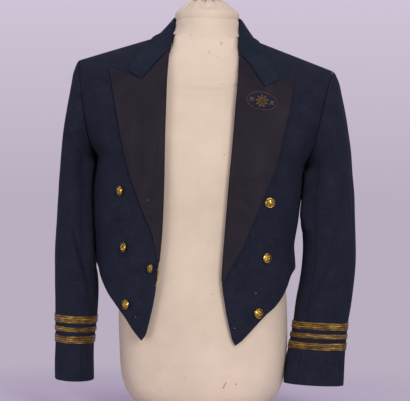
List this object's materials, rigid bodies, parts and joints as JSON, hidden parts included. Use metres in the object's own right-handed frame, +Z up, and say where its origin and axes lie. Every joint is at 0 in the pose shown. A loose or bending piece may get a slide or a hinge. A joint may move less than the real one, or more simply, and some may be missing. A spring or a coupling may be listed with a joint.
{
  "type": "mess jacket on a dress form",
  "caption": "Short open mess jacket with silk-faced peaked lapels and gold cuff lace, carried by a limbless cloth-covered dress form.",
  "frame": {"origin": "middle of the dress form's flat underside", "axes": "+Z up, the front of the jacket faces -Y, +X is the wearer's left"},
  "size_m": [0.5638, 0.2445, 0.7883],
  "materials": {
    "navy_cloth": "matt navy wool barathea",
    "collar_cloth": "matt blue-navy wool",
    "facing_silk": "ribbed silk with a soft sheen",
    "gold_lace": "tarnished woven gold lace",
    "gilt_brass": "gilt, domed and polished",
    "patch_cloth": "blue cloth with gold embroidery",
    "form_cover": "cream cotton jersey, lightly stained"
  },
  "bodies": {
    "root": {"front_right": "navy_cloth", "front_left": "navy_cloth", "back_right": "navy_cloth", "back_left": "navy_cloth", "top_sleeve_right": "navy_cloth", "under_sleeve_right": "navy_cloth", "top_sleeve_left": "navy_cloth", "under_sleeve_left": "navy_cloth", "collar_fall": "collar_cloth", "collar_stand": "collar_cloth", "lapel_right": "facing_silk", "lapel_left": "facing_silk", "lace_right_1": "gold_lace", "lace_right_2": "gold_lace", "lace_right_3": "gold_lace", "lace_left_1": "gold_lace", "lace_left_2": "gold_lace", "lace_left_3": "gold_lace", "button_right_1": "gilt_brass", "button_right_2": "gilt_brass", "button_right_3": "gilt_brass", "button_left_1": "gilt_brass", "button_left_2": "gilt_brass", "button_left_3": "gilt_brass", "link_button": "gilt_brass", "link_wire": "gilt_brass", "lapel_patch": "patch_cloth", "dress_form": "form_cover", "neck_knob": "form_cover"}
  },
  "joints": []
}
